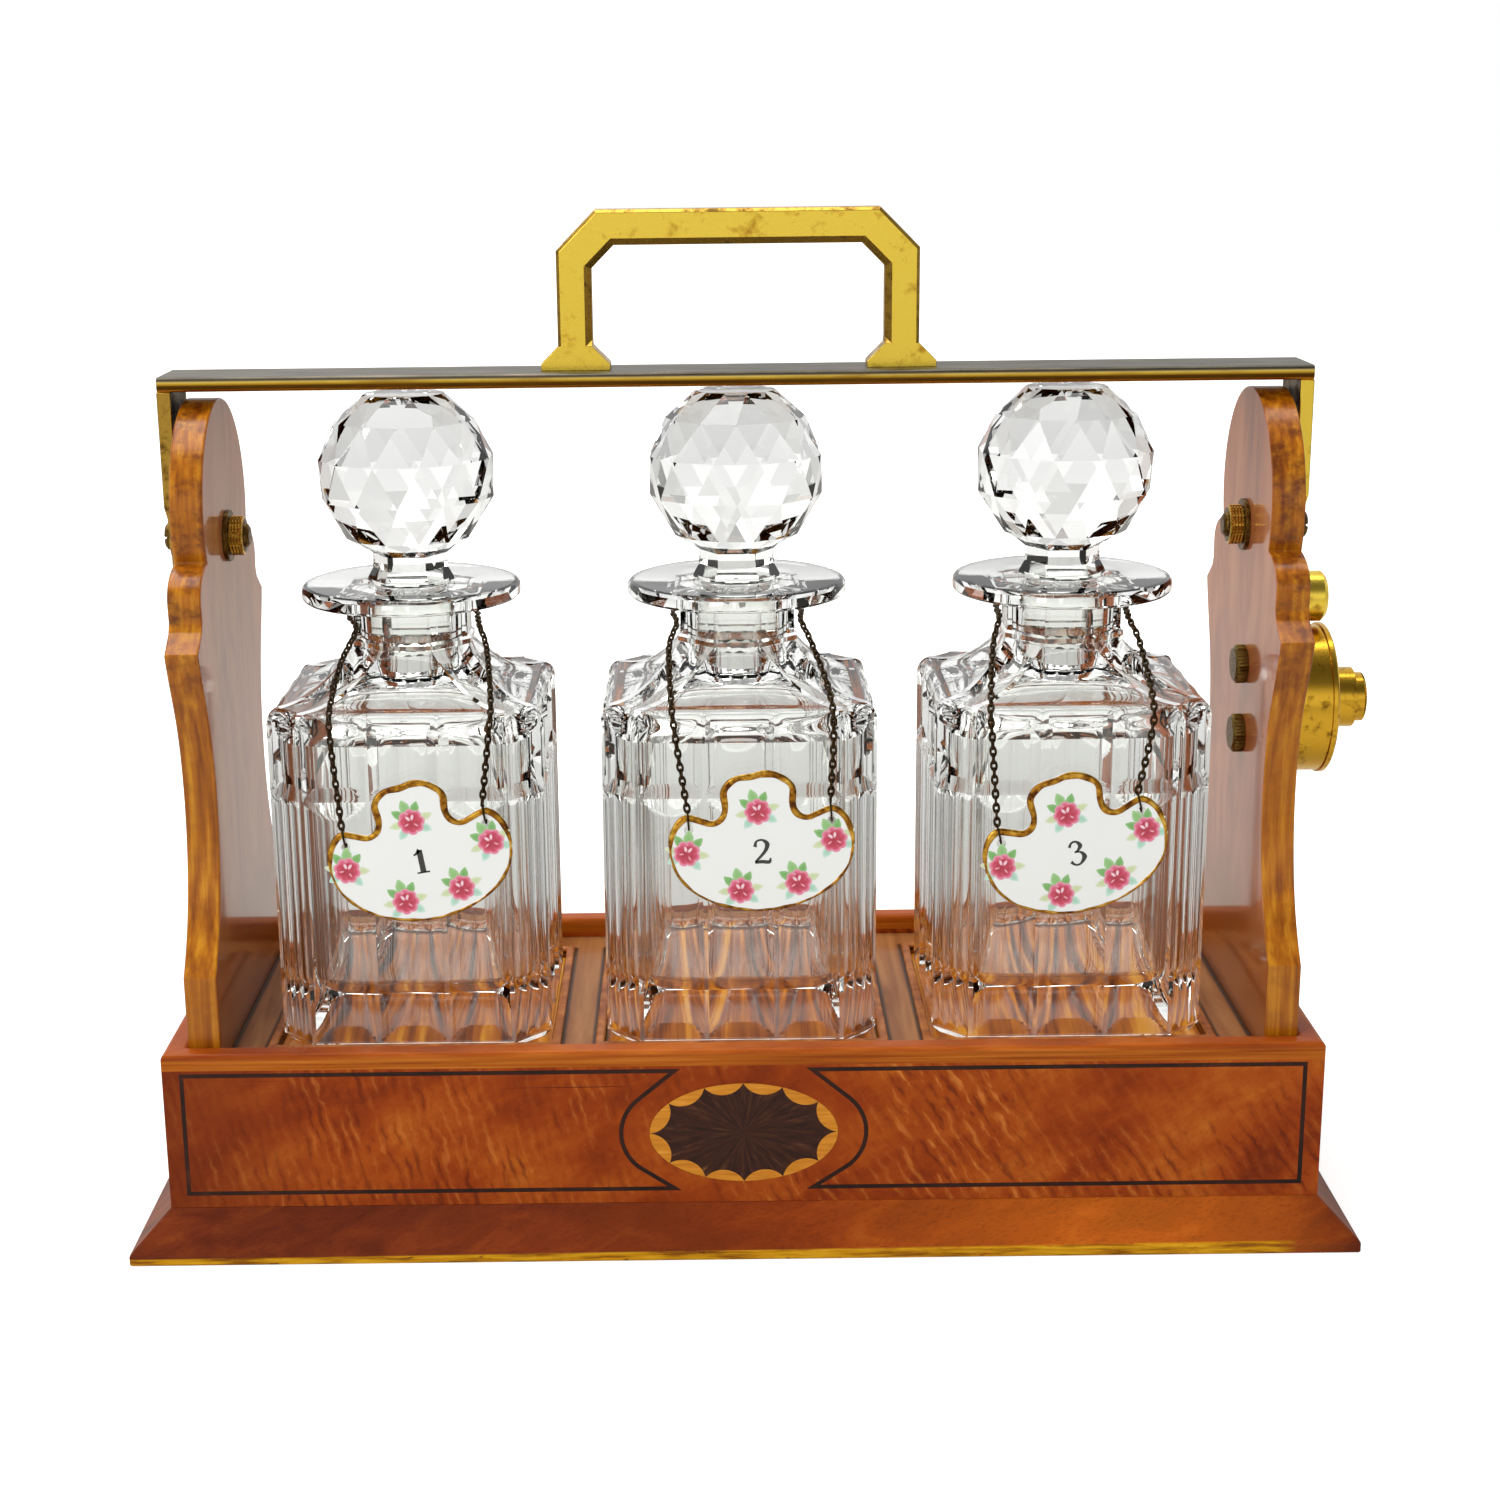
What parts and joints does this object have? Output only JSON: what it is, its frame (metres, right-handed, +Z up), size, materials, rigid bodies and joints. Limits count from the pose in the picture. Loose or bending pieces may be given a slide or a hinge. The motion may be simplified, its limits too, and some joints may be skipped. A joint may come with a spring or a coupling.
{
  "type": "tantalus",
  "caption": "Wooden decanter stand whose brass carrying bar swings back from over stoppered square cut-glass decanters and locks with a push bolt.",
  "frame": {"origin": "middle of the plinth's underside", "axes": "+X to the object's right, towards the lock; +Y to the back; +Z up"},
  "size_m": [0.4016, 0.1594, 0.3223],
  "materials": {
    "case_wood": "figured veneer under a French polish, glossy",
    "plinth_wood": "polished hardwood moulding, its low edge worn",
    "standard_wood": "polished solid hardwood, glossy on its faces",
    "plain_wood": "sawn softwood, bare",
    "tray_wood": "polished veneer, glossy",
    "dark_inlay": "ebonised veneer let in flush and polished",
    "light_inlay": "boxwood veneer let in flush and polished",
    "well_wood": "light veneer, polished",
    "crystal": "wheel-cut and polished lead crystal",
    "porcelain": "glazed white porcelain with painted sprigs and a gilt edge",
    "chain_metal": "tarnished metal chain",
    "brass_bar": "worn brass with a dull, handled top",
    "brass_polished": "polished brass",
    "brass_dark": "tarnished brass",
    "steel": "blued spring steel"
  },
  "bodies": {
    "case": {"plinth_front": "plinth_wood", "plinth_right": "plinth_wood", "plinth_back": "plinth_wood", "plinth_left": "plinth_wood", "base_board": "plain_wood", "case_front": "case_wood", "case_right": "case_wood", "case_back": "case_wood", "case_left": "case_wood", "inlay_fan": "dark_inlay", "inlay_scallops": "light_inlay", "inlay_strings": "dark_inlay", "floor_board": "plain_wood", "floor_bearers": "plain_wood", "tray_board": "tray_wood", "well_bead_1": "tray_wood", "well_bead_2": "tray_wood", "well_bead_3": "tray_wood", "well_floor_1": "well_wood", "well_floor_2": "well_wood", "well_floor_3": "well_wood", "standard_left": "standard_wood", "standard_right": "standard_wood", "pivot_screws": "brass_polished", "pivot_spacers": "brass_polished", "pivot_washers": "brass_polished", "pivot_nuts": "brass_polished", "lock_case": "brass_polished", "lock_cap": "brass_polished", "lock_sleeve": "brass_polished", "lock_spring": "steel", "lock_studs": "brass_dark", "lock_nuts": "brass_dark"},
    "carry_frame": {"carrying_bar": "brass_bar", "strap_left": "brass_bar", "strap_right": "brass_bar", "handle": "brass_bar", "handle_screws": "steel", "lock_lug": "brass_polished"},
    "lock_button": {"lock_plunger": "brass_polished"},
    "lock_pin": {"lock_bolt": "steel"},
    "bottle_1": {"decanter_1": "crystal", "neck_chain_1": "chain_metal"},
    "bottle_stopper_1": {"stopper_1": "crystal"},
    "bottle_label_1": {"label_1": "porcelain", "label_chain_1": "chain_metal"},
    "bottle_2": {"decanter_2": "crystal", "neck_chain_2": "chain_metal"},
    "bottle_stopper_2": {"stopper_2": "crystal"},
    "bottle_label_2": {"label_2": "porcelain", "label_chain_2": "chain_metal"},
    "bottle_3": {"decanter_3": "crystal", "neck_chain_3": "chain_metal"},
    "bottle_stopper_3": {"stopper_3": "crystal"},
    "bottle_label_3": {"label_3": "porcelain", "label_chain_3": "chain_metal"}
  },
  "joints": [
    {"name": "bar_swing", "type": "hinge", "parent": "case", "child": "carry_frame", "pos_m": [0, 0, 0.22], "axis": [-1, 0, 0], "range_deg": [0, 90]},
    {"name": "lock_press", "type": "slide", "parent": "case", "child": "lock_button", "axis": [-1, 0, 0], "range_m": [0, 0.0036], "stiffness_N_per_m": 400, "springref_m": -0.002, "deforming": ["lock_spring"]},
    {"name": "bolt_rise", "type": "slide", "parent": "case", "child": "lock_pin", "axis": [0, 0, 1], "range_m": [0, 0.0036]},
    {"name": "decanter_1_lift", "type": "slide", "parent": "case", "child": "bottle_1", "axis": [0, 0, 1], "range_m": [0, 0.002]},
    {"name": "stopper_1_turn", "type": "hinge", "parent": "bottle_1", "child": "bottle_stopper_1", "pos_m": [-0.1063, 0, 0.2047], "axis": [0, 0, 1], "continuous": true},
    {"name": "label_1_swing", "type": "hinge", "parent": "bottle_1", "child": "bottle_label_1", "pos_m": [-0.1063, -0.002, 0.193], "axis": [-1, 0, 0], "range_deg": [0, 20]},
    {"name": "decanter_2_lift", "type": "slide", "parent": "case", "child": "bottle_2", "axis": [0, 0, 1], "range_m": [0, 0.002]},
    {"name": "stopper_2_turn", "type": "hinge", "parent": "bottle_2", "child": "bottle_stopper_2", "pos_m": [0, 0, 0.2047], "axis": [0, 0, 1], "continuous": true},
    {"name": "label_2_swing", "type": "hinge", "parent": "bottle_2", "child": "bottle_label_2", "pos_m": [0, -0.002, 0.193], "axis": [-1, 0, 0], "range_deg": [0, 20]},
    {"name": "decanter_3_lift", "type": "slide", "parent": "case", "child": "bottle_3", "axis": [0, 0, 1], "range_m": [0, 0.002]},
    {"name": "stopper_3_turn", "type": "hinge", "parent": "bottle_3", "child": "bottle_stopper_3", "pos_m": [0.1063, 0, 0.2047], "axis": [0, 0, 1], "continuous": true},
    {"name": "label_3_swing", "type": "hinge", "parent": "bottle_3", "child": "bottle_label_3", "pos_m": [0.1063, -0.002, 0.193], "axis": [-1, 0, 0], "range_deg": [0, 20]}
  ],
  "couplings": [
    {"joint": "bolt_rise", "follows": "lock_press", "ratio": 1}
  ]
}
